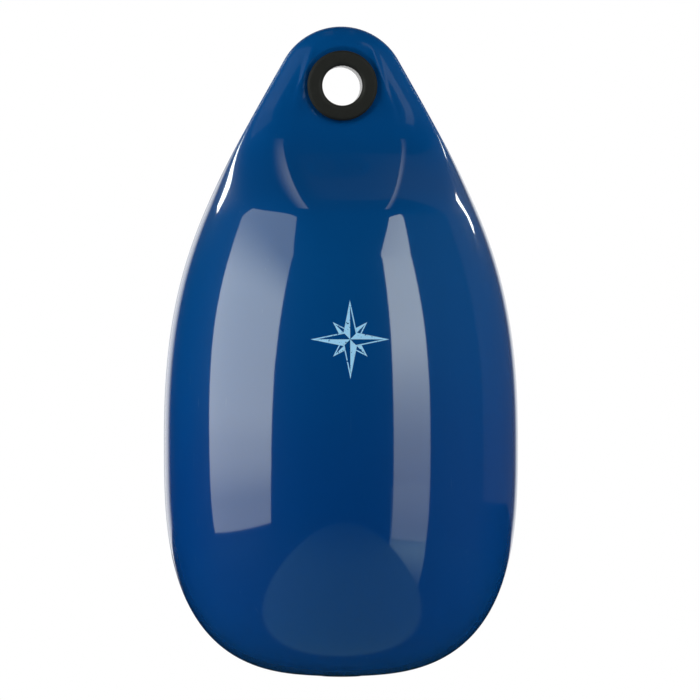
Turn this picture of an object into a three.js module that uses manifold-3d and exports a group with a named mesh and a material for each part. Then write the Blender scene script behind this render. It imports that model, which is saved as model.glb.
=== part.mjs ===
// Boat fender: a hollow teardrop of soft PVC with a flattened tab at its top, a two-part
// eyelet through the tab for the hanging line, and an inflation valve in its foot.
// Millimetres, +Z up, front towards -Y. The origin is the centre of the eye, whose bore
// runs along Y, so the body hangs below it.

import * as THREE from 'three';
import { mergeVertices } from 'three/addons/utils/BufferGeometryUtils.js';
import Module from 'manifold-3d';

const wasm = await Module();
wasm.setup();

// Outline of the body, seen from the front
const bodyDiameter = 130;
const widestDrop = 129.4;        // from the eye's centre down to the widest section
const footDepth = 86.5;          // from the widest section down to the foot
const footFullness = 2.9;        // 2 is an ellipse, and more is a fuller, squarer foot
const tabRadius = 24.1;          // round end of the tab
const tabCentreDrop = 2.1;       // from the eye's centre down to the centre of that round
const tabEndAngle = 29.5;        // degrees above level, where the round runs into the flank
const upperReach = 64;           // how far the flank keeps the slope of the tab
const lowerReach = 60.4;         // how far up the flank keeps the widest section's line

// Flattening of the front and the back: a facet on each side, flat at the tab, which opens
// out below as a ramp between two creases that close in until it runs into the round body
const tabThickness = 16;
const tabCrown = 9;              // height over which the tab's top edge is rounded
const facetWidth = 47;           // between the creases where they are furthest apart
const facetWidestDrop = 20;      // from the eye's centre down to that place
const facetFootDrop = 63;        // from the eye's centre down to where the creases end
const facetClosing = 0.27;       // how far each crease closes in for each step down
const facetTaper = 1.2;          // 0.5 rounds the facet's top like an oval, and more points it
const rampTopDrop = 8;           // where the tab starts to open out
const rampFootDrop = 48;         // where the flanks are round
const rampEase = 1.7;            // how softly the ramp starts
const creaseDrop = 12;           // where the creases start to sharpen
const creaseBlend = 25;          // height over which they sharpen
const creaseFade = 14;           // height over which they soften again at their foot
const softCrease = 12;           // power of the crease at the tab, where low is rounded
const sharpCrease = 60;          // power of the crease at its sharpest
const wall = 3;

// Eyelet of two halves that plug into each other inside the tab
const eyeDiameter = 14.5;
const barrelWall = 1.75;
const flangeDiameter = 25.6;
const flangeThickness = 2;
const flangeEdgeRadius = 1.3;
const seatDepth = 0.9;           // how far the tab is sunk under a flange
const spigotWall = 0.8;
const spigotLength = 4;

// Inflation valve, a soft plug pressed into a boss in the foot
const valveHeadDiameter = 15;
const valveHeadThickness = 1.6;
const valveEdgeRadius = 0.4;
const valveStemDiameter = 7;
const valveBarbDiameter = 10;
const valveBarbLength = 5;
const needleHoleDiameter = 1.8;
const needleHoleDepth = 7;
const bossDiameter = 20;
const bossHeight = 8;            // from the foot's outside to the boss's inner face

// Clearances and the fineness of the surfaces
const clearance = 0.3;           // between pieces that touch
const cavityTopGap = 14;         // solid stretch between the eye's ramp and the hollow
const cavityDomeHeight = 7;
const quarterSegments = 16;      // of the body's round
const quarterCavitySegments = 8;
const flankShare = 5 / 8;        // of a quarter's segments, from the side to the crease
const tabSteps = 9;
const flankSteps = 24;
const footSteps = 12;
const domeSteps = 5;
const roundSegments = 32;
const filletSteps = 3;

// Heights and half sizes that follow from the dimensions above
const halfDiameter = bodyDiameter / 2;
const widestHeight = -widestDrop;
const footHeight = widestHeight - footDepth;
const tabCentreHeight = -tabCentreDrop;
const tabTopHeight = tabCentreHeight + tabRadius;
const crownHeight = tabTopHeight - tabCrown;
const rampTopHeight = -rampTopDrop;
const rampFootHeight = -rampFootDrop;
const facetFootHeight = -facetFootDrop;
const facetWidestHeight = -facetWidestDrop;
const halfTab = tabThickness / 2;
const cavityTopHeight = rampTopHeight - cavityTopGap;
const eyeRadius = eyeDiameter / 2;
const barrelRadius = eyeRadius + barrelWall;
const flangeRadius = flangeDiameter / 2;
const seatHeight = halfTab - seatDepth;
const flangeBack = seatHeight + clearance;
const flangeFace = flangeBack + flangeThickness;

// The flank runs from the end of the tab's round to the widest section, as one curve
const tabEnd = THREE.MathUtils.degToRad(tabEndAngle);
const flankStart = new THREE.Vector2(
  tabRadius * Math.cos(tabEnd),
  tabCentreHeight + tabRadius * Math.sin(tabEnd),
);
const tabSlope = new THREE.Vector2(Math.sin(tabEnd), -Math.cos(tabEnd));
const flank = new THREE.CubicBezierCurve(
  flankStart,
  flankStart.clone().addScaledVector(tabSlope, upperReach),
  new THREE.Vector2(halfDiameter, widestHeight + lowerReach),
  new THREE.Vector2(halfDiameter, widestHeight),
);

// The point of the flank at a height is found by halving, since it falls steadily
function flankHalfWidth(z) {
  let low = 0;
  let high = 1;
  for (let step = 0; step < 40; step += 1) {
    const middle = (low + high) / 2;
    if (flank.getPoint(middle).y > z) low = middle;
    else high = middle;
  }
  return flank.getPoint(low).x;
}

function footHalfWidth(z, inset) {
  const drop = Math.min((widestHeight - z) / (footDepth - inset), 1);
  return (halfDiameter - inset) * (1 - drop ** footFullness) ** (1 / footFullness);
}

function halfWidth(z) {
  if (z >= flankStart.y) return Math.sqrt(Math.max(tabRadius ** 2 - (z - tabCentreHeight) ** 2, 0));
  if (z >= widestHeight) return flankHalfWidth(z);
  return footHalfWidth(z, 0);
}

function facetHalfWidth(z) {
  if (z > facetWidestHeight) {
    const rise = (z - facetWidestHeight) / (tabTopHeight - facetWidestHeight);
    return (facetWidth / 2) * Math.max(1 - rise ** 2, 0) ** facetTaper;
  }
  const drop = facetWidestHeight - z;
  const foot = Math.max(1 - (drop / (facetFootDrop - facetWidestDrop)) ** 4, 0);
  return (facetWidth / 2 - facetClosing * drop) * Math.sqrt(foot);
}

// A facet as wide as this leaves this share of a round or oval section's depth
function depthLeft(z) {
  return Math.sqrt(1 - (facetHalfWidth(z) / halfWidth(z)) ** 2);
}

// Half depth that the flanks would have in the middle if the facet weren't there
function flankDepth(z) {
  const full = halfWidth(z);
  if (z <= rampFootHeight) return full;
  const rise = Math.max((z - crownHeight) / tabCrown, 0);
  const tab = (halfTab * Math.sqrt(Math.max(1 - rise ** 2, 0))) / depthLeft(z);
  const fall = Math.max((rampTopHeight - z) / (rampTopHeight - rampFootHeight), 0);
  return THREE.MathUtils.lerp(tab, full, 1 - (1 - fall ** rampEase) ** 2);
}

function facetDepth(z) {
  return flankDepth(z) * depthLeft(z);
}

// The creases sharpen down the ramp and go half way back at their foot
function creasePower(z) {
  const sharpen = THREE.MathUtils.clamp((-creaseDrop - z) / creaseBlend, 0, 1);
  const fade = THREE.MathUtils.clamp((facetFootHeight + creaseFade - z) / creaseFade, 0, 1);
  return softCrease * (sharpCrease / softCrease) ** (sharpen - fade / 2);
}

// The crease's direction in a section, which the points keep to, and below the facet the
// direction that spaces them evenly
function creaseAngle(z) {
  const even = flankShare * (Math.PI / 2);
  const least = halfWidth(z) * 0.2;
  const crease = Math.atan2(facetDepth(z), Math.max(facetHalfWidth(z), least));
  return THREE.MathUtils.lerp(crease, even, THREE.MathUtils.smoothstep(facetFootHeight - z, 0, 50));
}

// Direction of a point that lies this share of a quarter turn from the side
function spacedAngle(share, crease) {
  if (share < flankShare) return crease * (share / flankShare);
  return THREE.MathUtils.lerp(crease, Math.PI / 2, (share - flankShare) / (1 - flankShare));
}

// A section is an oval as wide and deep as its flanks, cut by the facets at the front and
// the back, with the two blended at the crease
function sectionRing({ width, depth, facet }, z, segments) {
  const power = creasePower(z);
  const crease = creaseAngle(z);
  const quarter = [];
  for (let index = 0; index <= segments; index += 1) {
    const angle = spacedAngle(index / segments, crease);
    const across = Math.cos(angle);
    const through = Math.sin(angle);
    const oval = Math.hypot(across / width, through / depth);
    const cut = (through / facet) ** power - (through / depth) ** power;
    const radius = (oval ** power + cut) ** (-1 / power);
    quarter.push(new THREE.Vector2(radius * across, radius * through));
  }
  const place = (point, x, y) => new THREE.Vector3(x * point.x, y * point.y, z);
  return [
    ...quarter.slice(0, -1).map((point) => place(point, 1, 1)),
    ...quarter.slice(1).reverse().map((point) => place(point, -1, 1)),
    ...quarter.slice(0, -1).map((point) => place(point, -1, -1)),
    ...quarter.slice(1).reverse().map((point) => place(point, 1, -1)),
  ];
}

// A closed skin over rings of points that go down, from a top point to a bottom point
function skinOver(rings, topHeight, bottomHeight) {
  const segments = rings[0].length;
  const points = [new THREE.Vector3(0, 0, topHeight), ...rings.flat(), new THREE.Vector3(0, 0, bottomHeight)];
  const last = points.length - 1;
  const at = (ring, index) => 1 + ring * segments + (index % segments);
  const faces = [];
  for (let index = 0; index < segments; index += 1) {
    faces.push(0, at(0, index), at(0, index + 1));
    for (let ring = 0; ring < rings.length - 1; ring += 1) {
      faces.push(at(ring, index), at(ring + 1, index), at(ring + 1, index + 1));
      faces.push(at(ring, index), at(ring + 1, index + 1), at(ring, index + 1));
    }
    faces.push(last, at(rings.length - 1, index + 1), at(rings.length - 1, index));
  }
  const geometry = new THREE.BufferGeometry().setFromPoints(points);
  geometry.setIndex(faces);
  return geometry;
}

function outerSkin() {
  const heights = [];
  for (let step = 1; step < tabSteps; step += 1) {
    const angle = THREE.MathUtils.lerp(Math.PI / 2, tabEnd, step / tabSteps);
    heights.push(tabCentreHeight + tabRadius * Math.sin(angle));
  }
  for (let step = 0; step < flankSteps; step += 1) {
    heights.push(flank.getPoint(step / flankSteps).y);
  }
  for (let step = 0; step < footSteps; step += 1) {
    const angle = (step / footSteps) * (Math.PI / 2);
    heights.push(widestHeight - footDepth * Math.sin(angle) ** (2 / footFullness));
  }
  const rings = heights.map((z) => sectionRing(
    { width: halfWidth(z), depth: flankDepth(z), facet: facetDepth(z) },
    z,
    quarterSegments,
  ));
  return skinOver(rings, tabTopHeight, footHeight);
}

// The hollow follows the outside, one wall thickness in, and is domed at its top
function setIn(profile, z) {
  const slope = profile(z + 0.5) - profile(z - 0.5);
  return profile(z) - wall * Math.hypot(1, slope);
}

function cavitySkin() {
  const rings = [];
  const addRing = (z, share) => {
    const width = z > widestHeight ? setIn(halfWidth, z) : footHalfWidth(z, wall);
    const depth = z > rampFootHeight ? setIn(flankDepth, z) : width;
    const facet = z > facetFootHeight ? setIn(facetDepth, z) : width;
    rings.push(sectionRing(
      { width: width * share, depth: depth * share, facet: facet * share },
      z,
      quarterCavitySegments,
    ));
  };
  for (let step = 1; step < domeSteps; step += 1) {
    const angle = (step / domeSteps) * (Math.PI / 2);
    addRing(cavityTopHeight - cavityDomeHeight * (1 - Math.cos(angle)), Math.sin(angle));
  }
  const shoulder = cavityTopHeight - cavityDomeHeight;
  const steps = Math.round(flankSteps / 2);
  for (let step = 0; step < steps; step += 1) {
    addRing(THREE.MathUtils.lerp(shoulder, widestHeight, step / steps), 1);
  }
  for (let step = 0; step < footSteps; step += 1) {
    const angle = (step / footSteps) * (Math.PI / 2);
    addRing(widestHeight - (footDepth - wall) * Math.sin(angle) ** (2 / footFullness), 1);
  }
  return skinOver(rings, cavityTopHeight, footHeight + wall);
}

// Joining and cutting of closed skins
function toSolid(geometry) {
  const bare = geometry.clone();
  bare.deleteAttribute('normal');
  bare.deleteAttribute('uv');
  const merged = mergeVertices(bare);
  return new wasm.Manifold(new wasm.Mesh({
    numProp: 3,
    vertProperties: Float32Array.from(merged.attributes.position.array),
    triVerts: Uint32Array.from(merged.index.array),
  }));
}

function toGeometry(solid) {
  const { vertProperties, triVerts } = solid.getMesh();
  const geometry = new THREE.BufferGeometry();
  geometry.setAttribute('position', new THREE.BufferAttribute(vertProperties, 3));
  geometry.setIndex(new THREE.BufferAttribute(triVerts, 1));
  geometry.computeVertexNormals();
  return geometry;
}

function plugAlongY(radius, from, to) {
  const plug = new THREE.CylinderGeometry(radius, radius, to - from, roundSegments);
  plug.translate(0, (from + to) / 2, 0);
  return toSolid(plug);
}

function plugAlongZ(radius, from, to) {
  const plug = new THREE.CylinderGeometry(radius, radius, to - from, roundSegments);
  plug.rotateX(Math.PI / 2);
  plug.translate(0, 0, (from + to) / 2);
  return toSolid(plug);
}

function fenderBody() {
  const past = flangeFace + clearance;
  const seatRadius = flangeRadius + clearance;
  const hollow = toSolid(cavitySkin())
    .subtract(plugAlongZ(bossDiameter / 2, footHeight, footHeight + bossHeight));
  const headRoom = valveHeadThickness + 2 * clearance;
  const body = toSolid(outerSkin())
    .subtract(hollow)
    .subtract(plugAlongY(barrelRadius + clearance, -past, past))
    .subtract(plugAlongY(seatRadius, -past, -seatHeight))
    .subtract(plugAlongY(seatRadius, seatHeight, past))
    .subtract(plugAlongZ(valveHeadDiameter / 2 + clearance, footHeight - clearance, footHeight + headRoom))
    .subtract(plugAlongZ(valveStemDiameter / 2 + clearance, footHeight, footHeight + bossHeight + clearance));
  return toGeometry(body);
}

// Round corner of a turned outline, from one angle in degrees to another
function corner(x, y, radius, fromDegrees, toDegrees) {
  const points = [];
  for (let step = 0; step <= filletSteps; step += 1) {
    const angle = THREE.MathUtils.degToRad(THREE.MathUtils.lerp(fromDegrees, toDegrees, step / filletSteps));
    points.push(new THREE.Vector2(x + radius * Math.cos(angle), y + radius * Math.sin(angle)));
  }
  return points;
}

function turned(points) {
  return new THREE.LatheGeometry([...points, points[0].clone()], roundSegments);
}

// Both halves share the flange and its flared mouth. The rear half is drawn on the +Y
// side, and the joint's points go from the bore out to the barrel's outside
function eyeletHalf(joint) {
  return turned([
    ...joint,
    new THREE.Vector2(barrelRadius, flangeBack),
    new THREE.Vector2(flangeRadius, flangeBack),
    ...corner(flangeRadius - flangeEdgeRadius, flangeFace - flangeEdgeRadius, flangeEdgeRadius, 0, 90),
    ...corner(barrelRadius, flangeFace - barrelWall, barrelWall, 90, 180),
  ]);
}

function eyeletFront() {
  const spigotRadius = eyeRadius + spigotWall;
  const half = eyeletHalf([
    new THREE.Vector2(eyeRadius, -spigotLength),
    new THREE.Vector2(spigotRadius, -spigotLength),
    new THREE.Vector2(spigotRadius, clearance / 2),
    new THREE.Vector2(barrelRadius, clearance / 2),
  ]);
  return half.rotateX(Math.PI);
}

function eyeletRear() {
  const socketRadius = eyeRadius + spigotWall + clearance;
  const socketDepth = spigotLength + clearance;
  return eyeletHalf([
    new THREE.Vector2(eyeRadius, socketDepth),
    new THREE.Vector2(socketRadius, socketDepth),
    new THREE.Vector2(socketRadius, clearance / 2),
    new THREE.Vector2(barrelRadius, clearance / 2),
  ]);
}

function inflationValve() {
  const headFoot = footHeight + clearance;
  const headTop = headFoot + valveHeadThickness;
  const barbFoot = footHeight + bossHeight + clearance;
  const stemRadius = valveStemDiameter / 2;
  const valve = new THREE.LatheGeometry([
    new THREE.Vector2(0, headFoot + needleHoleDepth),
    new THREE.Vector2(needleHoleDiameter / 2, headFoot + needleHoleDepth),
    new THREE.Vector2(needleHoleDiameter / 2, headFoot),
    ...corner(valveHeadDiameter / 2 - valveEdgeRadius, headFoot + valveEdgeRadius, valveEdgeRadius, -90, 0),
    new THREE.Vector2(valveHeadDiameter / 2, headTop),
    new THREE.Vector2(stemRadius, headTop),
    new THREE.Vector2(stemRadius, barbFoot),
    new THREE.Vector2(valveBarbDiameter / 2, barbFoot),
    new THREE.Vector2(stemRadius, barbFoot + valveBarbLength),
    new THREE.Vector2(0, barbFoot + valveBarbLength),
  ], roundSegments);
  return valve.rotateX(Math.PI / 2);
}

// Materials
function softPvc() {
  return new THREE.MeshStandardMaterial({ color: '#00417a', roughness: 0.12, metalness: 0 });
}

function blackPlastic() {
  return new THREE.MeshStandardMaterial({ color: '#2a2826', roughness: 0.55, metalness: 0 });
}

function blackRubber() {
  return new THREE.MeshStandardMaterial({ color: '#1d1c1b', roughness: 0.7, metalness: 0 });
}

function piece(name, geometry, material) {
  const mesh = new THREE.Mesh(geometry, material);
  mesh.name = name;
  return mesh;
}

const fender = new THREE.Group();
fender.add(
  piece('fender_body', fenderBody(), softPvc()),
  piece('eyelet_front', eyeletFront(), blackPlastic()),
  piece('eyelet_rear', eyeletRear(), blackPlastic()),
  piece('inflation_valve', inflationValve(), blackRubber()),
);

export default fender;
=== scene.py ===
# Looks of a small teardrop boat fender: glossy blue PVC, a black eyelet and its valve.
# Metres, +Z up, front towards -Y, origin at the centre of the eye.

import math

import bmesh
import bpy
from bpy.props import FloatProperty, FloatVectorProperty, IntProperty, PointerProperty
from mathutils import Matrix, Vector


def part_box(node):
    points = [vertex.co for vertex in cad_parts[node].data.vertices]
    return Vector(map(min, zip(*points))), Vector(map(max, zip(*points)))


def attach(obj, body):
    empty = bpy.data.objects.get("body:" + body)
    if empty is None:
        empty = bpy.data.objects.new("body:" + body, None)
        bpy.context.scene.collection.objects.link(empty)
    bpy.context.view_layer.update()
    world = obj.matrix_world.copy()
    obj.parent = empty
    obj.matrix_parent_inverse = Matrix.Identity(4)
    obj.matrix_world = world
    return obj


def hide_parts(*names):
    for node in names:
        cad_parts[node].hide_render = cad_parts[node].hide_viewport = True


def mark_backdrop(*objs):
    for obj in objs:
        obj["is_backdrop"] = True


bl_info = {
    "name": "Teardrop Boat Fender",
    "version": (1, 0, 0),
    "blender": (4, 5, 0),
    "location": "View3D > Sidebar > Fender",
    "description": "Builds a teardrop boat fender with its eyelet, valve and studio stage",
    "category": "Object",
}

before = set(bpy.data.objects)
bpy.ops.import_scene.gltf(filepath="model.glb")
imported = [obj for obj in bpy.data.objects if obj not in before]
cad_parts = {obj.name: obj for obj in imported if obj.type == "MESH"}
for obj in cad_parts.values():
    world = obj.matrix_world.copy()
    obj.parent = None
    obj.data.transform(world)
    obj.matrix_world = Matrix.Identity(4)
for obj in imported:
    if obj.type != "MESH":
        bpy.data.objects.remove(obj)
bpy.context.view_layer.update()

MM = 0.001
BODY_LOW, BODY_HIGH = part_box("fender_body")
EYELET_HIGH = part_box("eyelet_front")[1]
REAR_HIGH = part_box("eyelet_rear")[1]
VALVE_LOW, VALVE_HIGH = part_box("inflation_valve")

# Steps of the skin's grid: around the body, then down its tab, its flanks and its foot.
SKIN_GRID = {"columns": 312, "tab_rows": 44, "flank_rows": 140, "foot_rows": 100}

# Lamps, by azimuth from the front (right positive) and elevation in degrees, as the fender sees
# them. A fade is (dim end, full end, share lost), with 0 at the lamp's foot and 1 at its top.
PANEL_COLOUR = (0.94, 1.0, 0.94)
LEFT_FADES = ((0.10, 0.27, 0.5), (0.78, 0.56, 0.6))
RIGHT_FADES = ((0.46, 0.62, 0.6), (0.305, 0.522, 0.27), (0.0, 0.2, 0.13), (0.92, 0.70, 0.25))

# Name, azimuths, elevations, share of the panels' radiance, fades.
PANELS = (
    ("panel_left", (-97, -46), (-15, 50), 1.0, LEFT_FADES),
    ("panel_right", (30, 54.5), (-52, 50), 1.1, RIGHT_FADES),
)

# Name, azimuths, elevations: they make the thin white lines on the flanks.
STRIPS = (
    ("strip_left", (-142, -137), (22, 36)),
    ("strip_right", (131, 134), (18.3, 30.8)),
)

# Name, reach across in metres, dark side (0 left, 1 right): only the creases mirror them.
TOP_LAMPS = (
    ("top_left", (-0.34, -0.09), 0.0),
    ("top_right", (0.17, 0.26), 1.0),
)

# Reach of both top lamps from front to back, and their height above the fender's middle.
TOP_LAMP_BACK = (-0.18, 0.46)
TOP_LAMP_HEIGHT = 1.0

# Name, azimuths, share of the panels' radiance: they aren't mirrored.
FILLS = (
    ("fill_left", (-110, -60), 0.42),
    ("fill_right", (60, 110), 0.65),
)
FILL_ELEVATIONS = (-20, 40)

# From the floor's middle to its edges, in metres.
FLOOR_REACH = 3


class Number:
    """A number in a node tree, which takes part in Python expressions."""

    def __init__(self, graph, socket):
        self.graph = graph
        self.socket = socket

    def math(self, operation, *others):
        sockets = dict(enumerate((self, *others)))
        return self.graph.number("ShaderNodeMath", 0, {"operation": operation}, sockets)

    def __add__(self, other):
        return self.math("ADD", other)

    def __sub__(self, other):
        return self.math("SUBTRACT", other)

    def __mul__(self, other):
        return self.math("MULTIPLY", other)

    def __truediv__(self, other):
        return self.math("DIVIDE", other)

    def __pow__(self, other):
        return self.math("POWER", other)

    def __radd__(self, other):
        return self.math("ADD", other)

    def __rmul__(self, other):
        return self.math("MULTIPLY", other)

    def __rsub__(self, other):
        return self.graph.constant(other).math("SUBTRACT", self)

    def __rtruediv__(self, other):
        return self.graph.constant(other).math("DIVIDE", self)

    def __neg__(self):
        return self.math("MULTIPLY", -1.0)

    def __abs__(self):
        return self.math("ABSOLUTE")

    def root(self):
        return self.math("SQRT")

    def least(self, other):
        return self.math("MINIMUM", other)

    def most(self, other):
        return self.math("MAXIMUM", other)

    def below(self, other):
        return self.math("LESS_THAN", other)

    def above(self, other):
        return self.math("GREATER_THAN", other)

    def sine(self):
        return self.math("SINE")

    def cosine(self):
        return self.math("COSINE")

    def choose(self, yes, no):
        """yes where this is 1, no where it is 0, and a blend in between."""
        return no + self * (yes - no)

    def ease(self, low, high, start=0.0, end=1.0):
        """Smooth step from start at low to end at high."""
        settings = {"interpolation_type": "SMOOTHSTEP"}
        sockets = {
            "Value": self, "From Min": low, "From Max": high, "To Min": start, "To Max": end,
        }
        return self.graph.number("ShaderNodeMapRange", 0, settings, sockets)


class Graph:
    """A node tree that nodes are added to."""

    def __init__(self, tree):
        self.tree = tree

    def feed(self, socket, value):
        """Links a number or a socket to this socket, or sets a plain value on it."""
        if isinstance(value, Number):
            value = value.socket
        if isinstance(value, bpy.types.NodeSocket):
            self.tree.links.new(value, socket)
        else:
            socket.default_value = value

    def node(self, kind, settings=None, sockets=None):
        made = self.tree.nodes.new(kind)
        for name, value in (settings or {}).items():
            setattr(made, name, value)
        for key, value in (sockets or {}).items():
            self.feed(made.inputs[key], value)
        return made

    def number(self, kind, output, settings=None, sockets=None):
        return Number(self, self.node(kind, settings, sockets).outputs[output])

    def constant(self, value):
        made = self.tree.nodes.new("ShaderNodeValue")
        made.outputs[0].default_value = value
        return Number(self, made.outputs[0])

    def split(self, vector):
        parts = self.node("ShaderNodeSeparateXYZ", None, {0: vector})
        return [Number(self, parts.outputs[index]) for index in range(3)]

    def noise(self, vector, scale, detail=2.0, roughness=0.5):
        sockets = {"Vector": vector, "Scale": scale, "Detail": detail, "Roughness": roughness}
        return self.number("ShaderNodeTexNoise", 0, None, sockets)

    def mix_colour(self, factor, first, second):
        settings = {"data_type": "RGBA", "clamp_factor": True}
        made = self.node("ShaderNodeMix", settings, {0: factor, 6: first, 7: second})
        return made.outputs[2]


def length(name, description, default):
    return FloatProperty(
        name=name, description=description, default=default, unit="LENGTH", precision=5,
    )


def tilt(name, description, degrees):
    return FloatProperty(
        name=name, description=description, default=math.radians(degrees), subtype="ANGLE",
    )


def plain(name, description, default):
    return FloatProperty(name=name, description=description, default=default)


def colour(name, description, default):
    return FloatVectorProperty(
        name=name, description=description, default=default,
        size=4, min=0.0, max=1.0, subtype="COLOR",
    )


class FenderBodySizes(bpy.types.PropertyGroup):
    """Sizes of the hollow body."""

    half_width: length("Half width", "From the middle to the side at the widest", BODY_HIGH.x)
    widest_drop: length("Widest drop", "From the eye down to the widest section", 129.4 * MM)
    foot: length("Foot", "Height of the lowest point", BODY_LOW.z)
    foot_fullness: plain("Foot fullness", "2 is an ellipse, and more is a squarer foot", 2.9)
    tab_radius: length("Tab radius", "Radius of the tab's round end", 24.1 * MM)
    tab_centre_drop: length("Tab centre drop", "From the eye to the round's centre", 2.1 * MM)
    tab_end: tilt("Tab end", "Where the tab's round runs into the flank, above level", 29.5)
    upper_reach: length("Upper reach", "How far the flank keeps the slope of the tab", 64 * MM)
    lower_reach: length("Lower reach", "How far up the flank stays nearly upright", 60.4 * MM)
    tab_half: length("Half tab", "Half the tab's thickness", 8 * MM)
    tab_crown: length("Tab crown", "Height over which the tab's top edge is rounded", 9 * MM)
    facet_half_width: length(
        "Facet half width", "From the middle to the creases at their widest", 23.5 * MM,
    )
    facet_widest_drop: length(
        "Facet widest drop", "From the eye down to the facet's widest place", 20 * MM,
    )
    facet_foot_drop: length(
        "Facet foot drop", "From the eye down to where the creases end", 63 * MM,
    )
    facet_closing: plain("Facet closing", "How fast the creases close in below", 0.27)
    facet_taper: plain("Facet taper", "How pointed the facet is above the eye", 1.2)
    ramp_top_drop: length("Ramp top drop", "From the eye to where the tab opens out", 8 * MM)
    ramp_ease: plain("Ramp ease", "How softly the tab starts to open out", 1.7)
    ramp_foot_drop: length("Ramp foot drop", "From the eye to where the flanks are round", 48 * MM)
    crease_drop: length("Crease drop", "From the eye to where the creases sharpen", 12 * MM)
    crease_blend: length("Crease blend", "Height over which the creases sharpen", 25 * MM)
    crease_fade: length("Crease fade", "Height over which the creases fade at the foot", 14 * MM)
    soft_crease: plain("Soft crease", "Power of the crease at the tab", 12)
    sharp_crease: plain("Sharp crease", "Power of the crease at its sharpest", 60)
    fold_reach: length("Fold reach", "From the middle to a fold, at the eye's height", 14.9 * MM)
    fold_slant: plain("Fold slant", "How fast the folds open out below", 0.28)
    fold_half_width: length("Fold half width", "Half width of a fold", 2.2 * MM)
    fold_height: length("Fold height", "How far a fold stands out", 0.5 * MM)
    seat_height: length("Seat height", "Half the tab's thickness under the flanges", 7.2 * MM)
    seat_radius: length("Seat radius", "Radius of the seat sunk for a flange", 13.1 * MM)
    seat_blend: length("Seat blend", "Width over which the tab dips to the seat", 1.6 * MM)
    bore_radius: length("Bore radius", "Radius of the hole for the eyelet's barrel", 9.3 * MM)
    flash_height: length("Flash height", "Height of the mould's parting line", 0.18 * MM)
    flash_half_width: length("Flash half width", "Half the width of the parting line", 0.9 * MM)
    unevenness: length("Unevenness", "Depth of the wall's slow waves", 0.22 * MM)


class FenderEyeletSizes(bpy.types.PropertyGroup):
    """Sizes of the two eyelet halves."""

    bore_radius: length("Bore radius", "Radius of the hole for the line", 7.25 * MM)
    barrel_wall: length("Barrel wall", "Wall of the barrel and radius of its mouth", 1.75 * MM)
    flange_radius: length("Flange radius", "Radius of a flange", EYELET_HIGH.x)
    flange_thickness: length("Flange thickness", "Thickness of a flange", 2 * MM)
    flange_edge: length("Flange edge", "Radius of a flange's outer edge", 1.3 * MM)
    spigot_length: length("Spigot length", "How far the halves plug together", EYELET_HIGH.y)
    spigot_wall: length("Spigot wall", "Wall of the front half's spigot", 0.8 * MM)
    clearance: length("Clearance", "Gap between pieces that touch", 0.3 * MM)
    segments: IntProperty(name="Segments", description="Steps around the eyelet", default=128)


class FenderValveSizes(bpy.types.PropertyGroup):
    """Sizes of the inflation valve in the foot."""

    head_radius: length("Head radius", "Radius of the valve's head", VALVE_HIGH.x)
    head_thickness: length("Head thickness", "Thickness of the valve's head", 1.6 * MM)
    stem_radius: length("Stem radius", "Radius of the stem through the foot", 3.5 * MM)
    barb_radius: length("Barb radius", "Radius of the barb that holds the valve", 5 * MM)
    barb_length: length("Barb length", "Length of the barb", 5 * MM)
    needle_radius: length("Needle radius", "Radius of the hole for the pump's needle", 0.9 * MM)
    needle_depth: length("Needle depth", "Depth of the hole for the needle", 7 * MM)
    segments: IntProperty(name="Segments", description="Steps around the valve", default=64)


class FenderFinish(bpy.types.PropertyGroup):
    """Colours and print of the fender."""

    body: colour("Body", "Blue of the PVC", (0.0, 0.053, 0.196, 1.0))
    # Painted shade: the body's lower part is painted this darker blue.
    painted_shade_blue: colour("Deep body", "Darker blue of the lower part", (0.0, 0.033, 0.162, 1.0))
    dust: colour("Dust", "Specks of dust and small nicks", (0.30, 0.42, 0.55, 1.0))
    ink: colour("Ink", "Pale print on the front", (0.35, 0.65, 0.93, 1.0))
    plastic: colour("Plastic", "Black of the eyelet", (0.011, 0.011, 0.010, 1.0))
    # Painted sheen: this grey paints the light that the eyelet's mouth catches, and greys
    # blotches.
    rubbed_and_painted_sheen: colour("Rubbed plastic", "Grey where it is rubbed", (0.026, 0.025, 0.023, 1.0))
    rubber: colour("Rubber", "Black of the valve", (0.016, 0.016, 0.015, 1.0))
    bloom: colour("Bloom", "Grey bloom on the rubber", (0.045, 0.045, 0.043, 1.0))
    star_radius: length("Star radius", "Radius of the compass star's long points", 14 * MM)
    star_x: length("Star across", "Place of the star across the front", 0.0)
    star_z: length("Star height", "Height of the star's centre", -92.6 * MM)


class FenderStage(bpy.types.PropertyGroup):
    """Camera, lamps and backdrop."""

    camera_turn: tilt("Camera turn", "How far the camera stands round to the left", 3)
    camera_distance: length("Camera distance", "From the camera to the middle of the fender", 2.5)
    frame_size: length("Frame size", "Width of the picture at the fender", 256 * MM)
    aim_x: length("Aim across", "Where the camera points, across", 3.2 * MM)
    aim_z: length("Aim height", "Where the camera points, in height", -96.4 * MM)
    panel_distance: length("Panel distance", "From the soft panels to the fender", 0.9)
    floor_drop: length("Floor drop", "From the fender's foot down to the floor", 0.2)
    panel_radiance: plain("Panel brightness", "Radiance of a soft panel", 3.3)
    top_radiance: plain("Top brightness", "Radiance of a lamp above", 0.8)
    strip_radiance: plain("Strip brightness", "Radiance of a strip lamp", 12.0)


# Body skin


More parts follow.
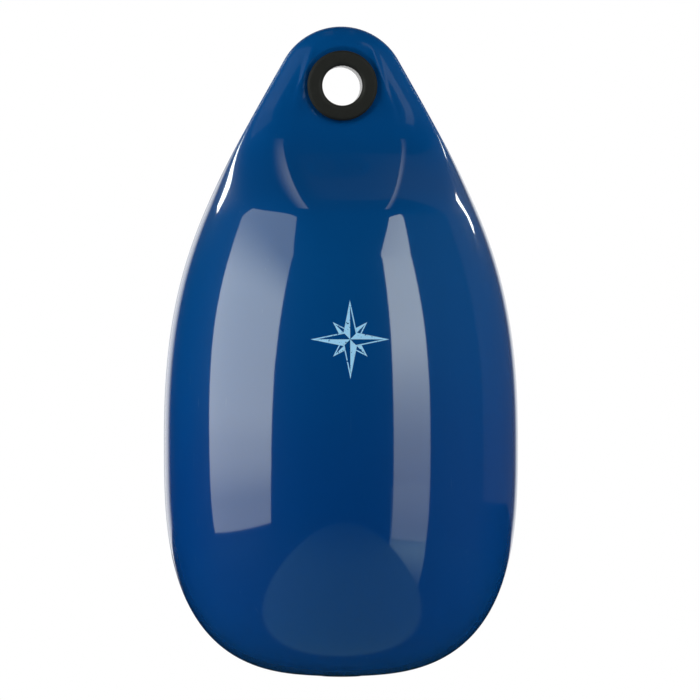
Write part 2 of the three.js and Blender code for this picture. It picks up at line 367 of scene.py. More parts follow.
def body_tree():
    """Geometry nodes that work the whole skin out from its outline and section rule."""
    tree = bpy.data.node_groups.new("fender_body_skin", "GeometryNodeTree")
    graph = Graph(tree)
    names = list(FenderBodySizes.__annotations__)
    for name in names:
        tree.interface.new_socket(name=name, in_out="INPUT", socket_type="NodeSocketFloat")
    for name in SKIN_GRID:
        tree.interface.new_socket(name=name, in_out="INPUT", socket_type="NodeSocketInt")
    tree.interface.new_socket(name="material", in_out="INPUT", socket_type="NodeSocketMaterial")
    tree.interface.new_socket(name="skin", in_out="OUTPUT", socket_type="NodeSocketGeometry")
    entry = graph.node("NodeGroupInput")
    size = {name: Number(graph, entry.outputs[name]) for name in names}
    tab_rows = Number(graph, entry.outputs["tab_rows"])
    flank_rows = Number(graph, entry.outputs["flank_rows"])
    foot_rows = Number(graph, entry.outputs["foot_rows"])
    rows = tab_rows + flank_rows + foot_rows
    columns = Number(graph, entry.outputs["columns"])

    grid = graph.node("GeometryNodeMeshGrid", None, {
        "Size X": 1.0, "Size Y": 1.0, "Vertices X": columns + 1, "Vertices Y": rows + 1,
    })
    across, down, _ = graph.split(graph.node("GeometryNodeInputPosition").outputs[0])
    row = (0.5 - down) * rows
    quarter = (across + 0.5) * 4.0

    radius, height = outline(size, row, tab_rows, flank_rows, foot_rows)
    position = section(graph, size, quarter, radius, height)
    skin = graph.node("GeometryNodeSetPosition", None, {
        "Geometry": grid.outputs[0], "Position": position,
    })
    merged = graph.node("GeometryNodeMergeByDistance", None, {
        "Geometry": skin.outputs[0], "Distance": 0.001 * MM,
    })
    finished = graph.node("GeometryNodeSetPosition", None, {
        "Geometry": merged.outputs[0], "Offset": surface_offset(graph, size),
    })
    cut = cut_holes(graph, size, finished.outputs[0])
    smooth = graph.node("GeometryNodeSetShadeSmooth", None, {
        "Geometry": cut, "Shade Smooth": True,
    })
    dressed = graph.node("GeometryNodeSetMaterial", None, {
        "Geometry": smooth.outputs[0], "Material": entry.outputs["material"],
    })
    out = graph.node("NodeGroupOutput")
    tree.links.new(dressed.outputs[0], out.inputs["skin"])
    return tree


def outline(size, row, tab_rows, flank_rows, foot_rows):
    """Half width and height of a row: the tab's round, the flank's curve, then the foot."""
    tab_share = (row / tab_rows).least(1.0)
    angle = math.pi / 2 + tab_share * (size["tab_end"] - math.pi / 2)
    tab_x = size["tab_radius"] * angle.cosine()
    tab_z = size["tab_radius"] * angle.sine() - size["tab_centre_drop"]

    share = ((row - tab_rows) / flank_rows).most(0.0).least(1.0)
    rest = 1.0 - share
    start_x = size["tab_radius"] * size["tab_end"].cosine()
    start_z = size["tab_radius"] * size["tab_end"].sine() - size["tab_centre_drop"]
    weights = (rest ** 3, 3 * rest * rest * share, 3 * rest * share * share, share ** 3)
    handle_x = start_x + size["upper_reach"] * size["tab_end"].sine()
    handle_z = start_z - size["upper_reach"] * size["tab_end"].cosine()
    end_x = size["half_width"]
    end_z = -size["widest_drop"]
    flank_x = weights[0] * start_x + weights[1] * handle_x + (weights[2] + weights[3]) * end_x
    flank_z = (weights[0] * start_z + weights[1] * handle_z
               + weights[2] * (end_z + size["lower_reach"]) + weights[3] * end_z)

    turn = ((row - tab_rows - flank_rows) / foot_rows).most(0.0) * (math.pi / 2)
    power = 2.0 / size["foot_fullness"]
    foot_x = size["half_width"] * turn.cosine().most(0.0) ** power
    foot_z = end_z + (size["foot"] - end_z) * turn.sine().most(0.0) ** power

    in_tab = row.below(tab_rows)
    in_foot = row.above(tab_rows + flank_rows)
    radius = in_tab.choose(tab_x, in_foot.choose(foot_x, flank_x))
    height = in_tab.choose(tab_z, in_foot.choose(foot_z, flank_z))
    return radius.most(0.0), height


def section(graph, size, quarter, width, z):
    """Place of a point on an oval section that facets cut at the front and the back."""
    top = size["tab_radius"] - size["tab_centre_drop"]
    facet_foot = -size["facet_foot_drop"]
    widest = -size["facet_widest_drop"]
    above = ((z - widest) / (top - widest)).most(0.0)
    below = (widest - z).most(0.0)
    point = (1.0 - above * above).most(0.0) ** size["facet_taper"]
    foot = (1.0 - (below / (widest - facet_foot)) ** 4.0).most(0.0).root()
    facet_half = (size["facet_half_width"] - size["facet_closing"] * below) * point * foot
    narrow = facet_half / width
    left = (1.0 - narrow * narrow).most(0.0).root()

    crown = ((z - top + size["tab_crown"]) / size["tab_crown"]).most(0.0)
    tab = size["tab_half"] * (1.0 - crown * crown).most(0.0).root() / left
    fall = (-size["ramp_top_drop"] - z) / (size["ramp_foot_drop"] - size["ramp_top_drop"])
    open_share = 1.0 - (1.0 - fall.most(0.0).least(1.0) ** size["ramp_ease"]) ** 2.0
    depth = open_share.choose(width, tab)
    facet = depth * left

    sharpen = ((-size["crease_drop"] - z) / size["crease_blend"]).most(0.0).least(1.0)
    fade_top = size["crease_fade"] - size["facet_foot_drop"]
    fade = ((fade_top - z) / size["crease_fade"]).most(0.0).least(1.0)
    sharpness = sharpen - 0.5 * fade
    power = size["soft_crease"] * (size["sharp_crease"] / size["soft_crease"]) ** sharpness

    # Each quarter gives this share of its columns to the flank, so that a column follows the
    # crease, but never nearer to the middle than the least facet. Over the spread height below
    # the creases the columns spread evenly again. The eased share gathers them at the sides.
    flank_share = 0.7
    least_facet = 0.2
    spread_height = 50 * MM
    eased_share = 0.6
    crease = facet.math("ARCTAN2", facet_half.most(width * least_facet))
    even = flank_share * math.pi / 2
    crease = (facet_foot - z).ease(0.0, spread_height, crease, even)
    turn = quarter.math("FLOORED_MODULO", 2.0)
    share = turn.above(1.0).choose(2.0 - turn, turn)
    on_flank = (share / flank_share).least(1.0)
    on_flank = (1.0 - eased_share) * on_flank + eased_share * on_flank.ease(0.0, 1.0)
    on_facet = ((share - flank_share) / (1.0 - flank_share)).most(0.0)
    angle = crease * on_flank + (math.pi / 2 - crease) * on_facet

    x = angle.cosine()
    y = angle.sine()
    oval = 1.0 / ((x / width) ** 2.0 + (y / depth) ** 2.0).root()
    cut = (oval * y / facet) ** power - (oval * y / depth) ** power
    radius = oval * (1.0 + cut.most(0.0)) ** (-1.0 / power)
    side = (quarter.above(1.0) * quarter.below(3.0)).choose(-1.0, 1.0)
    front = quarter.above(2.0).choose(-1.0, 1.0)
    place_x = radius * x * side
    place_y = dip_to_seat(size, radius * y, place_x, z) * front
    return graph.node("ShaderNodeCombineXYZ", None, {0: place_x, 1: place_y, 2: z}).outputs[0]


def dip_to_seat(size, depth, x, z):
    """The tab sinks a little under the eyelet's flanges."""
    reach = (x * x + z * z).root()
    out = (reach - size["seat_radius"]).ease(0.0, size["seat_blend"])
    return out.choose(depth, depth.least(size["seat_height"]))


def surface_offset(graph, size):
    """Slow waves of the wall, the mould's parting line, and two soft folds beside the eyelet.

    The waves and the parting line start below the CAD surface, so that nothing passes it.
    """
    position = graph.node("GeometryNodeInputPosition").outputs[0]
    x, y, z = graph.split(position)
    wave = graph.noise(position, scale=16.0, detail=1.0, roughness=0.4) - 1.0
    flash = (1.0 - abs(y) / size["flash_half_width"]).most(0.0).ease(0.0, 1.0) - 1.0
    from_fold = abs(abs(x) + size["fold_slant"] * z - size["fold_reach"])
    fold = (from_fold / size["fold_half_width"]).ease(1.0, 0.0)
    run_in = z.ease(-20 * MM, -6 * MM)
    run_out = z.ease(16 * MM, 9 * MM)
    past_seat = ((x * x + z * z).root() - size["seat_radius"]).ease(0.1 * MM, 1.5 * MM)
    fold = fold * run_in * run_out * past_seat
    amount = wave * size["unevenness"] + flash * size["flash_height"] + fold * size["fold_height"]
    normal = graph.node("GeometryNodeInputNormal").outputs[0]
    scaled = graph.node("ShaderNodeVectorMath", {"operation": "SCALE"}, {
        0: normal, "Scale": amount,
    })
    return scaled.outputs[0]


def cut_holes(graph, size, skin):
    """Bore for the eyelet, and the seat of the valve's head in the foot."""
    sides = 96
    seat_gap = 0.3 * MM
    seat_above_foot = VALVE_LOW.z - BODY_LOW.z + 1.9 * MM
    bore = graph.node("GeometryNodeMeshCylinder", None, {
        "Vertices": sides, "Radius": size["bore_radius"], "Depth": 60 * MM,
    })
    turned = graph.node("GeometryNodeTransform", None, {
        "Geometry": bore.outputs[0], "Rotation": (math.pi / 2, 0.0, 0.0),
    })
    seat = graph.node("GeometryNodeMeshCylinder", None, {
        "Vertices": sides, "Radius": VALVE_HIGH.x + seat_gap, "Depth": 2 * seat_above_foot,
    })
    lowered = graph.node("GeometryNodeTransform", None, {
        "Geometry": seat.outputs[0], "Translation": (0.0, 0.0, BODY_LOW.z),
    })
    both = graph.node("GeometryNodeJoinGeometry")
    graph.tree.links.new(turned.outputs[0], both.inputs[0])
    graph.tree.links.new(lowered.outputs[0], both.inputs[0])
    cut = graph.node("GeometryNodeMeshBoolean", {"operation": "DIFFERENCE", "solver": "EXACT"}, {
        "Mesh 1": skin, "Mesh 2": both.outputs[0],
    })
    return cut.outputs[0]


def make_body(sizes, material):
    """The skin as a plain mesh, worked out by its geometry nodes."""
    tree = body_tree()
    blank = add_object("skin_source", bpy.data.meshes.new("skin_source"))
    modifier = blank.modifiers.new("skin", "NODES")
    modifier.node_group = tree
    values = {name: getattr(sizes, name) for name in FenderBodySizes.__annotations__}
    values.update(SKIN_GRID, material=material)
    for item in tree.interface.items_tree:
        if item.in_out == "INPUT":
            modifier[item.identifier] = values[item.name]
    bpy.context.view_layer.update()
    evaluated = blank.evaluated_get(bpy.context.evaluated_depsgraph_get())
    mesh = bpy.data.meshes.new_from_object(evaluated)
    bpy.data.objects.remove(blank)
    mesh.name = "fender_skin"
    point_outwards(mesh)
    return add_object("fender_skin", mesh)


def point_outwards(mesh):
    """Turns every face outwards on a closed mesh."""
    shape = bmesh.new()
    shape.from_mesh(mesh)
    bmesh.ops.recalc_face_normals(shape, faces=shape.faces)
    if shape.calc_volume(signed=True) < 0:
        bmesh.ops.reverse_faces(shape, faces=shape.faces)
    shape.to_mesh(mesh)
    shape.free()


def add_object(name, data):
    made = bpy.data.objects.new(name, data)
    bpy.context.scene.collection.objects.link(made)
    return made


# Turned pieces


def arc(x, y, radius, start, end, steps):
    """Points of a round corner, from one angle in degrees to another."""
    points = []
    for step in range(steps + 1):
        angle = math.radians(start + (end - start) * step / steps)
        points.append((x + radius * math.cos(angle), y + radius * math.sin(angle)))
    return points


def turned_mesh(name, profile, axis, segments):
    """A closed mesh turned from a profile of (radius, place along the axis)."""
    on_axis = 1e-7
    shape = bmesh.new()
    place = {"Y": lambda r, t, a: (r * math.cos(a), t, r * math.sin(a)),
             "Z": lambda r, t, a: (r * math.cos(a), r * math.sin(a), t)}[axis]
    rings = []
    for radius, along in profile:
        if radius < on_axis:
            rings.append([shape.verts.new(place(0.0, along, 0.0))] * segments)
        else:
            angles = [2 * math.pi / segments * step for step in range(segments)]
            rings.append([shape.verts.new(place(radius, along, angle)) for angle in angles])
    if profile[0][0] > on_axis:
        rings.append(rings[0])
    for upper, lower in zip(rings, rings[1:]):
        for step in range(segments):
            following = (step + 1) % segments
            corners = [upper[step], upper[following], lower[following], lower[step]]
            unique = list(dict.fromkeys(corners))
            if len(unique) > 2:
                shape.faces.new(unique)
    for face in shape.faces:
        face.smooth = True
    mesh = bpy.data.meshes.new(name)
    shape.to_mesh(mesh)
    shape.free()
    point_outwards(mesh)
    return mesh


def hard_edges(mesh, degrees=50):
    """Keeps turned corners that are sharper than this angle crisp."""
    shape = bmesh.new()
    shape.from_mesh(mesh)
    for edge in shape.edges:
        if len(edge.link_faces) == 2 and edge.calc_face_angle() > math.radians(degrees):
            edge.smooth = False
    shape.to_mesh(mesh)
    shape.free()


def eyelet_profile(sizes, joint, back):
    """Flange, flared mouth and barrel, with the joint's points from the bore outwards."""
    face = back + sizes.flange_thickness
    barrel = sizes.bore_radius + sizes.barrel_wall
    edge = sizes.flange_edge
    back_edge = 0.3 * MM
    return [
        *joint,
        (barrel, back),
        (sizes.flange_radius - back_edge, back),
        *arc(sizes.flange_radius - back_edge, back + back_edge, back_edge, -90, 0, 3),
        *arc(sizes.flange_radius - edge, face - edge, edge, 0, 90, 10),
        *arc(barrel, face - sizes.barrel_wall, sizes.barrel_wall, 90, 180, 12),
    ]


def make_eyelets(sizes, material):
    """Front and rear halves of the eyelet, at their places in the tab."""
    bore = sizes.bore_radius
    barrel = bore + sizes.barrel_wall
    spigot = bore + sizes.spigot_wall
    half_gap = sizes.clearance / 2
    back = REAR_HIGH.y - sizes.flange_thickness
    front_joint = [
        (bore, -sizes.spigot_length),
        (spigot, -sizes.spigot_length),
        (spigot, half_gap),
        (barrel, half_gap),
    ]
    socket = spigot + sizes.clearance
    socket_depth = sizes.spigot_length + sizes.clearance
    rear_joint = [
        (bore, socket_depth),
        (socket, socket_depth),
        (socket, half_gap),
        (barrel, half_gap),
    ]
    front = [(radius, -along) for radius, along in eyelet_profile(sizes, front_joint, back)]
    rear = eyelet_profile(sizes, rear_joint, back)
    pieces = []
    for name, profile in (("eyelet_front_half", front), ("eyelet_rear_half", rear)):
        mesh = turned_mesh(name, profile, "Y", sizes.segments)
        hard_edges(mesh)
        mesh.materials.append(material)
        pieces.append(add_object(name, mesh))
    return pieces


def make_valve(sizes, material):
    """Soft plug with a needle hole, pressed into the foot."""
    foot = VALVE_LOW.z
    head_top = foot + sizes.head_thickness
    barb_foot = VALVE_HIGH.z - sizes.barb_length
    edge = 0.4 * MM
    lip = 0.5 * MM
    profile = [
        (0.0, foot + sizes.needle_depth),
        (sizes.needle_radius, foot + sizes.needle_depth),
        *arc(sizes.needle_radius + lip, foot + lip, lip, 180, 270, 5),
        *arc(sizes.head_radius - edge, foot + edge, edge, -90, 0, 5),
        (sizes.head_radius, head_top),
        (sizes.stem_radius, head_top),
        (sizes.stem_radius, barb_foot),
        (sizes.barb_radius, barb_foot),
        (sizes.stem_radius, barb_foot + sizes.barb_length),
        (0.0, barb_foot + sizes.barb_length),
    ]
    mesh = turned_mesh("valve_plug", profile, "Z", sizes.segments)
    hard_edges(mesh)
    mesh.materials.append(material)
    return add_object("valve_plug", mesh)


# Materials


def find_node(tree, kind):
    return next(node for node in tree.nodes if node.type == kind)


def new_material(name):
    """A material with its graph, its shader and the object's own coordinates."""
    material = bpy.data.materials.new(name)
    material.use_nodes = True
    graph = Graph(material.node_tree)
    shader = find_node(material.node_tree, "BSDF_PRINCIPLED")
    coordinates = graph.node("ShaderNodeTexCoord").outputs["Object"]
    return material, graph, shader, coordinates


def add_bump(graph, shader, height, distance, strength):
    bump = graph.node("ShaderNodeBump", None, {
        "Strength": strength, "Distance": distance, "Height": height,
    })
    graph.feed(shader.inputs["Normal"], bump.outputs[0])


def compass_star(graph, x, z, radius):
    """Mask of an eight-point compass star, half of every point filled, as plain print."""
    long_waist = radius * 0.17
    short_reach = radius * 0.62
    short_waist = radius * 0.15
    line_start = 0.86
    soft = 0.03

    def points(across, up, reach, waist):
        """1 on the edge of a four-point star, and less inside it."""
        far = abs(across).most(abs(up))
        near = abs(across).least(abs(up))
        return (far * waist + near * (reach - waist)) / (reach * waist)

    def inside(star, limit):
        return star.ease(limit - soft, limit + soft, 1.0, 0.0)

    def halves(across, up):
        steep = abs(across).above(abs(up))
        return (across * up).above(0.0).choose(steep, 1.0 - steep)

    def line(star):
        return inside(star, 1.0) * (1.0 - inside(star, line_start))

    long_star = points(x, z, radius, long_waist)
    in_long = inside(long_star, 1.0)
    long_part = (in_long * halves(x, z)).most(line(long_star))
    turned_x = (x + z) * math.sqrt(0.5)
    turned_z = (z - x) * math.sqrt(0.5)
    short_star = points(turned_x, turned_z, short_reach, short_waist)
    in_short = inside(short_star, 1.0)
    short_part = (in_short * halves(turned_x, turned_z)).most(line(short_star))
    return long_part.most(short_part * (1.0 - in_long))


def body_material(finish):
    """Glossy PVC with slow colour changes, painted shade, dust specks, fine scuffs and a worn
    print.
    """
    material, graph, shader, place = new_material("body_pvc")
    x, y, z = graph.split(place)

    # Painted shade deepens the blue towards the foot, and slow patches deepen it a little.
    slow = graph.noise(place, scale=9.0).ease(0.35, 0.65)
    foot = z.ease(-50 * MM, -150 * MM)
    patches_and_painted_shade = (slow * 0.2 + foot * 0.8).least(1.0)
    base = graph.mix_colour(patches_and_painted_shade, tuple(finish.body), tuple(finish.painted_shade_blue))

    # Dust: small round specks, in one of twenty cells.
    cells = graph.node("ShaderNodeTexVoronoi", {"feature": "F1"}, {"Vector": place, "Scale": 55.0})
    distance = Number(graph, cells.outputs["Distance"])
    pick, second_pick, _ = graph.split(cells.outputs["Color"])
    speck_size = 0.012 + second_pick * 0.016
    dust = distance.below(speck_size) * pick.above(0.95)

    # Scuffs: fine upright scratches, in patches.
    upright = graph.node("ShaderNodeMapping", None, {"Vector": place, "Scale": (1.0, 1.0, 0.06)})
    scratch = graph.noise(upright.outputs[0], scale=900.0, detail=1.0).ease(0.72, 0.78)
    patches = graph.noise(place, scale=28.0, detail=3.0, roughness=0.6).ease(0.52, 0.7)
    scuff = scratch * patches

    # Print: on the front only, with pinholes where it is worn.
    star = compass_star(graph, x - finish.star_x, z - finish.star_z, finish.star_radius)
    worn = graph.noise(place, scale=1500.0, roughness=0.6).ease(0.30, 0.40)
    printed = star * worn * y.below(0.0)

    coloured = base
    for mask, cover, paint in (
        (dust, 0.75, finish.dust), (scuff, 0.10, finish.dust), (printed, 0.92, finish.ink),
    ):
        coloured = graph.mix_colour(mask * cover, coloured, tuple(paint))
    graph.feed(shader.inputs["Base Color"], coloured)

    # The gloss lies in the coat, which is weaker on the stretched tab and beside the eyelet.
    beside = z.ease(-30 * MM, -16 * MM) * abs(x).ease(14 * MM, 20 * MM)
    stretched = z.ease(-40 * MM, -4 * MM).most(beside)
    marked = (dust + printed).least(1.0)
    smear = graph.noise(place, scale=34.0, detail=3.0, roughness=0.55)
    roughness = 0.30 + smear * 0.07 + scuff * 0.15 + dust * 0.4 + printed * 0.1
    graph.feed(shader.inputs["Roughness"], roughness)
    graph.feed(shader.inputs["Coat Weight"], 1.0 - stretched * 0.93 - marked * 0.1)
    shader.inputs["Coat Roughness"].default_value = 0.05
    shader.inputs["Coat IOR"].default_value = 1.73
    shader.inputs["IOR"].default_value = 1.53
    shader.inputs["Specular IOR Level"].default_value = 0.03

    peel = graph.noise(place, scale=420.0)
    broad = graph.noise(place, scale=75.0, detail=1.0)
    relief = peel * 0.006 + broad * 0.16 + dust * 0.10 + printed * 0.035 - scuff * 0.01
    add_bump(graph, shader, relief, distance=1 * MM, strength=0.25)
    return material


def plastic_material(finish):
    """Matte moulded plastic, fine grain, a smoother mouth with painted sheen, a polished bore."""
    material, graph, shader, place = new_material("eyelet_plastic")
    x, y, z = graph.split(place)
    reach = (x * x + z * z).root()
    rubbed_and_painted_sheen = reach.ease(9.2 * MM, 7.6 * MM)
    polished = reach.ease(7.8 * MM, 7.35 * MM)
    blotch = graph.noise(place, scale=260.0, detail=3.0, roughness=0.6)
    # Painted sheen: the mouth is painted paler grey where it catches light; blotches are random
    # tone.
    pale = (blotch * 0.35 + rubbed_and_painted_sheen * 0.25).least(1.0)
    grey = graph.mix_colour(pale, tuple(finish.plastic), tuple(finish.rubbed_and_painted_sheen))
    graph.feed(shader.inputs["Base Color"], grey)
    graph.feed(shader.inputs["Roughness"], 0.66 - rubbed_and_painted_sheen * 0.24 + (blotch - 0.5) * 0.12)
    graph.feed(shader.inputs["Coat Weight"], polished * 0.65)
    shader.inputs["Coat Roughness"].default_value = 0.12
    shader.inputs["Coat IOR"].default_value = 1.5
    shader.inputs["IOR"].default_value = 1.46
    shader.inputs["Specular IOR Level"].default_value = 0.2
    grain = graph.noise(place, scale=2600.0, roughness=0.6)
    add_bump(graph, shader, grain, distance=0.2 * MM, strength=0.25)
    return material


def rubber_material(finish):
    """Dull black rubber with a dusty bloom."""
    material, graph, shader, place = new_material("valve_rubber")
    bloom = graph.noise(place, scale=420.0, detail=4.0, roughness=0.6).ease(0.4, 0.7)
    grey = graph.mix_colour(bloom * 0.5, tuple(finish.rubber), tuple(finish.bloom))
    graph.feed(shader.inputs["Base Color"], grey)
    graph.feed(shader.inputs["Roughness"], 0.66 + bloom * 0.15)
    grain = graph.noise(place, scale=1800.0, detail=3.0, roughness=0.6)
    add_bump(graph, shader, grain, distance=0.2 * MM, strength=0.3)
    return material


# Stage


def light_path(graph):
    """1 for rays to the camera, in gloss and through glass, each in turn."""
    path = graph.node("ShaderNodeLightPath")
    kinds = ("Is Camera Ray", "Is Glossy Ray", "Is Transmission Ray")
    return [Number(graph, path.outputs[kind]) for kind in kinds]


def floor_material():
    """Pale floor: white with the fender's shadow to the camera, and mostly dark in gloss.

    In gloss it has an oval table in front of the fender, and a patch that carries on the
    mirrored right panel, whose foot the floor hides.
    """
    white = (0.85, 0.85, 0.85, 1.0)
    table_tint = (0.45, 0.92, 0.7, 1.0)
    patch_tint = (0.62, 0.88, 0.85, 1.0)
    dark_tint = (0.006, 0.02, 0.017, 1.0)
    near_glow = 0.72
    table_share = 0.2
    table_middle = (-0.01, -0.60)
    table_half = (0.40, 0.65)

    # The patch lies between two lines through the middle, which are given by their normals.
    inner_line = (0.875, 0.485)
    outer_line = (0.581, 0.814)
    edge = 4 * MM

    material, graph, shader, place = new_material("floor_pale")
    x, y, _ = graph.split(place)
    camera, gloss, through = light_path(graph)
    reach = (x * x + y * y).root()
    far = reach.ease(0.3, 1.2, near_glow, 1.0)
    show = camera.most(through)
    glow = graph.node("ShaderNodeEmission", None, {"Color": (1, 1, 1, 1), "Strength": far * show})
    lit = graph.node("ShaderNodeAddShader", None, {0: shader.outputs[0], 1: glow.outputs[0]})

    table_x = (x - table_middle[0]) / table_half[0]
    table_y = (y - table_middle[1]) / table_half[1]
    table = (table_x * table_x + table_y * table_y).root().ease(0.97, 1.02, 1.0, 0.0)
    inner = (x * inner_line[0] + y * inner_line[1]).ease(-edge, edge)
    outer = (x * outer_line[0] + y * outer_line[1]).ease(edge, -edge)
    patch = inner * outer * reach.ease(0.24, 0.75)

    in_gloss = graph.mix_colour(table, patch_tint, table_tint)
    graph.feed(shader.inputs["Base Color"], graph.mix_colour(gloss, white, in_gloss))
    shader.inputs["Roughness"].default_value = 0.7
    dark = graph.node("ShaderNodeBsdfDiffuse", None, {"Color": dark_tint})
    mixed = graph.node("ShaderNodeMixShader", None, {
        0: gloss * (1.0 - table.choose(table_share, patch)), 1: lit.outputs[0], 2: dark.outputs[0],
    })
    out = find_node(material.node_tree, "OUTPUT_MATERIAL")
    graph.tree.links.new(mixed.outputs[0], out.inputs[0])
    return material


def flat_sheet(name, corners, material):
    mesh = bpy.data.meshes.new(name)
    mesh.from_pydata(corners, [], [range(len(corners))])
    mesh.materials.append(material)
    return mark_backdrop(add_object(name, mesh))


def make_floor(level):
    corners = ((-1, -1), (1, -1), (1, 1), (-1, 1))
    places = [(x * FLOOR_REACH, y * FLOOR_REACH, level) for x, y in corners]
    flat_sheet("floor", places, floor_material())


def direction(azimuth, elevation):
    """Unit vector towards an azimuth and an elevation."""
    turn = math.radians(azimuth)
    lift = math.radians(elevation)
    level = math.cos(lift)
    return Vector((level * math.sin(turn), -level * math.cos(turn), math.sin(lift)))


def add_lamp(name, place, width, height, radiance):
    """A flat area lamp of this radiance, facing down, which the camera doesn't see."""
    lamp = bpy.data.lights.new(name, "AREA")
    lamp.shape = "RECTANGLE"
    lamp.size = width
    lamp.size_y = height
    lamp.energy = radiance * math.pi * lamp.size * lamp.size_y
    made = add_object(name, lamp)
    made.location = place
    made.visible_camera = False
    return made


def lamp_nodes(lamp):
    """A lamp's graph, the socket of its strength, and places from 0 to 1 across and up it."""
    lamp.use_nodes = True
    graph = Graph(lamp.node_tree)
    across, up, _ = graph.split(graph.node("ShaderNodeNewGeometry").outputs["Parametric"])
    return graph, find_node(lamp.node_tree, "EMISSION").inputs["Strength"], across, up


def add_panel(name, aim, distance, azimuths, elevations, radiance, fades=()):
    """An area lamp that fills a range of azimuths and elevations as the fender sees it."""
    half_wide = math.radians((azimuths[1] - azimuths[0]) / 2)
    half_high = math.radians((elevations[1] - elevations[0]) / 2)
    width = 2 * distance * math.tan(half_wide)
    height = 2 * distance * math.tan(half_high)
    way = direction(sum(azimuths) / 2, sum(elevations) / 2)
    made = add_lamp(name, aim + way * distance, width, height, radiance)
    made.rotation_euler = (-way).to_track_quat("-Z", "Y").to_euler()
    made.data.color = PANEL_COLOUR
    if fades:
        graph, socket, _, up = lamp_nodes(made.data)
        strength = graph.constant(1.0)
        for dim, full, lost in fades:
            strength = strength - up.ease(dim, full, lost, 0.0)
        graph.feed(socket, strength)
    return made


def add_top_lamp(name, aim, across, radiance, dark_side):
    """An area lamp above the fender that fades out towards one side."""
    place = Vector((sum(across) / 2, sum(TOP_LAMP_BACK) / 2, TOP_LAMP_HEIGHT))
    width = across[1] - across[0]
    height = TOP_LAMP_BACK[1] - TOP_LAMP_BACK[0]
    made = add_lamp(name, aim + place, width, height, radiance)
    graph, socket, along, _ = lamp_nodes(made.data)
    graph.feed(socket, along.ease(dark_side, 1.0 - dark_side))


def light_stage(stage, aim):
    distance = stage.panel_distance
    radiance = stage.panel_radiance
    for name, azimuths, elevations, share, fades in PANELS:
        add_panel(name, aim, distance, azimuths, elevations, radiance * share, fades)
    for name, azimuths, elevations in STRIPS:
        add_panel(name, aim, distance, azimuths, elevations, stage.strip_radiance)
    for name, across, dark_side in TOP_LAMPS:
        add_top_lamp(name, aim, across, stage.top_radiance, dark_side)
    for name, azimuths, share in FILLS:
        fill = add_panel(name, aim, distance, azimuths, FILL_ELEVATIONS, radiance * share)
        fill.visible_glossy = False


def make_camera(stage):
    camera = bpy.data.cameras.new("camera")
    camera.sensor_width = 36.0
    camera.lens = camera.sensor_width * stage.camera_distance / stage.frame_size
    camera.clip_start = 0.01
    made = add_object("camera", camera)
    turn = stage.camera_turn
    across = Vector((math.cos(turn), -math.sin(turn), 0.0))
    back = Vector((-math.sin(turn), -math.cos(turn), 0.0))
    level = Vector((0.0, 0.0, stage.aim_z))
    made.location = across * stage.aim_x + back * stage.camera_distance + level
    made.rotation_euler = (math.pi / 2, 0.0, -turn)
    bpy.context.scene.camera = made


def make_world():
    """White to the camera and behind the fender, and in gloss a dark room, paler on the right."""
    room_glow = 0.003
    right_glow = 0.06
    matte_glow = 0.18
    world = bpy.data.worlds.new("studio")
    world.use_nodes = True
    bpy.context.scene.world = world
    graph = Graph(world.node_tree)
    graph.tree.nodes.clear()
    way = graph.node("ShaderNodeTexCoord").outputs["Generated"]
    x, y, z = graph.split(way)
    camera, gloss, through = light_path(graph)
    behind = y.ease(0.88, 0.95)
    right = x.ease(0.0, 0.1) * y.ease(0.20, 0.25) * right_glow
    room = (room_glow + right).most(behind)
    strength = camera.most(through).choose(1.0, gloss.choose(room, matte_glow))
    glow = graph.node("ShaderNodeBackground", None, {"Color": (1, 1, 1, 1), "Strength": strength})
    out = graph.node("ShaderNodeOutputWorld")
    graph.tree.links.new(glow.outputs[0], out.inputs[0])


# Operators


class FENDER_OT_stage(bpy.types.Operator):
    """Sets up the camera, the floor, the backdrop and the lamps"""

    bl_idname = "fender.add_stage"
    bl_label = "Add stage"

    def execute(self, context):
        stage = context.scene.fender_stage
        make_camera(stage)
        make_world()
        make_floor(BODY_LOW.z - stage.floor_drop)
        light_stage(stage, Vector((0.0, 0.0, stage.aim_z)))
        context.scene.view_settings.view_transform = "Standard"
        return {"FINISHED"}


class FENDER_OT_body(bpy.types.Operator):
    """Builds the blue PVC body"""

    bl_idname = "fender.add_body"
    bl_label = "Add body"

    def execute(self, context):
        scene = context.scene
        body = make_body(scene.fender_body, body_material(scene.fender_finish))
        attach(body, "root")
        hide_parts("fender_body")
        return {"FINISHED"}


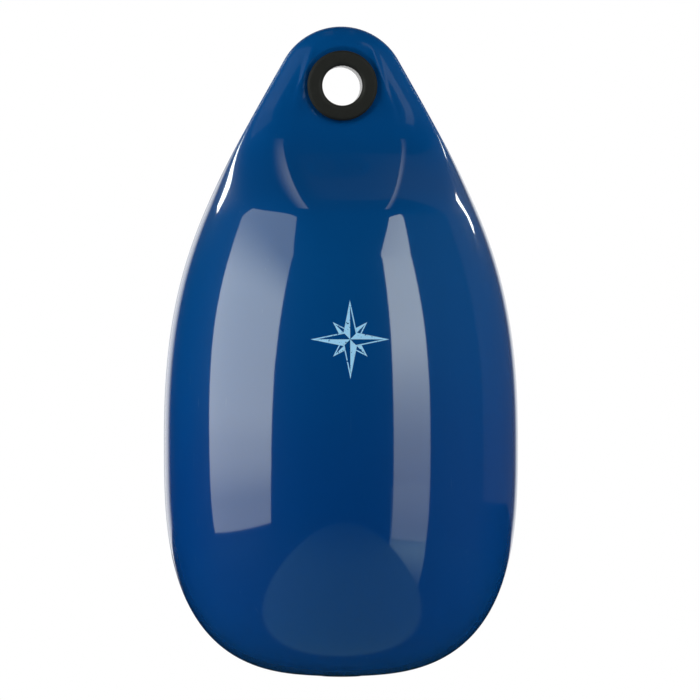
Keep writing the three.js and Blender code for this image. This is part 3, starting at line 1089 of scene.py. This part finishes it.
class FENDER_OT_eyelet(bpy.types.Operator):
    """Builds both halves of the black eyelet"""

    bl_idname = "fender.add_eyelet"
    bl_label = "Add eyelet"

    def execute(self, context):
        scene = context.scene
        halves = make_eyelets(scene.fender_eyelet, plastic_material(scene.fender_finish))
        for half, node in zip(halves, ("eyelet_front", "eyelet_rear")):
            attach(half, "root")
            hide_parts(node)
        return {"FINISHED"}


class FENDER_OT_valve(bpy.types.Operator):
    """Builds the inflation valve in the foot"""

    bl_idname = "fender.add_valve"
    bl_label = "Add valve"

    def execute(self, context):
        scene = context.scene
        valve = make_valve(scene.fender_valve, rubber_material(scene.fender_finish))
        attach(valve, "root")
        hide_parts("inflation_valve")
        return {"FINISHED"}


class FENDER_PT_panel(bpy.types.Panel):
    """Lists the steps that build the fender"""

    bl_idname = "FENDER_PT_panel"
    bl_label = "Teardrop Boat Fender"
    bl_space_type = "VIEW_3D"
    bl_region_type = "UI"
    bl_category = "Fender"

    def draw(self, context):
        column = self.layout.column()
        for step in STEPS:
            column.operator(step.bl_idname)
        for group in GROUPS:
            settings = getattr(context.scene, group)
            box = self.layout.box()
            for name in type(settings).__annotations__:
                box.prop(settings, name)


GROUPS = {
    "fender_body": FenderBodySizes,
    "fender_eyelet": FenderEyeletSizes,
    "fender_valve": FenderValveSizes,
    "fender_finish": FenderFinish,
    "fender_stage": FenderStage,
}
STEPS = (FENDER_OT_stage, FENDER_OT_body, FENDER_OT_eyelet, FENDER_OT_valve)


def register():
    for group in (*GROUPS.values(), *STEPS, FENDER_PT_panel):
        bpy.utils.register_class(group)
    for name, group in GROUPS.items():
        setattr(bpy.types.Scene, name, PointerProperty(type=group))


def unregister():
    for name in GROUPS:
        delattr(bpy.types.Scene, name)
    for group in reversed((*GROUPS.values(), *STEPS, FENDER_PT_panel)):
        bpy.utils.unregister_class(group)


def main():
    register()
    bpy.ops.fender.add_stage()
    bpy.ops.fender.add_body()
    bpy.ops.fender.add_eyelet()
    bpy.ops.fender.add_valve()


if __name__ == "__main__":
    main()
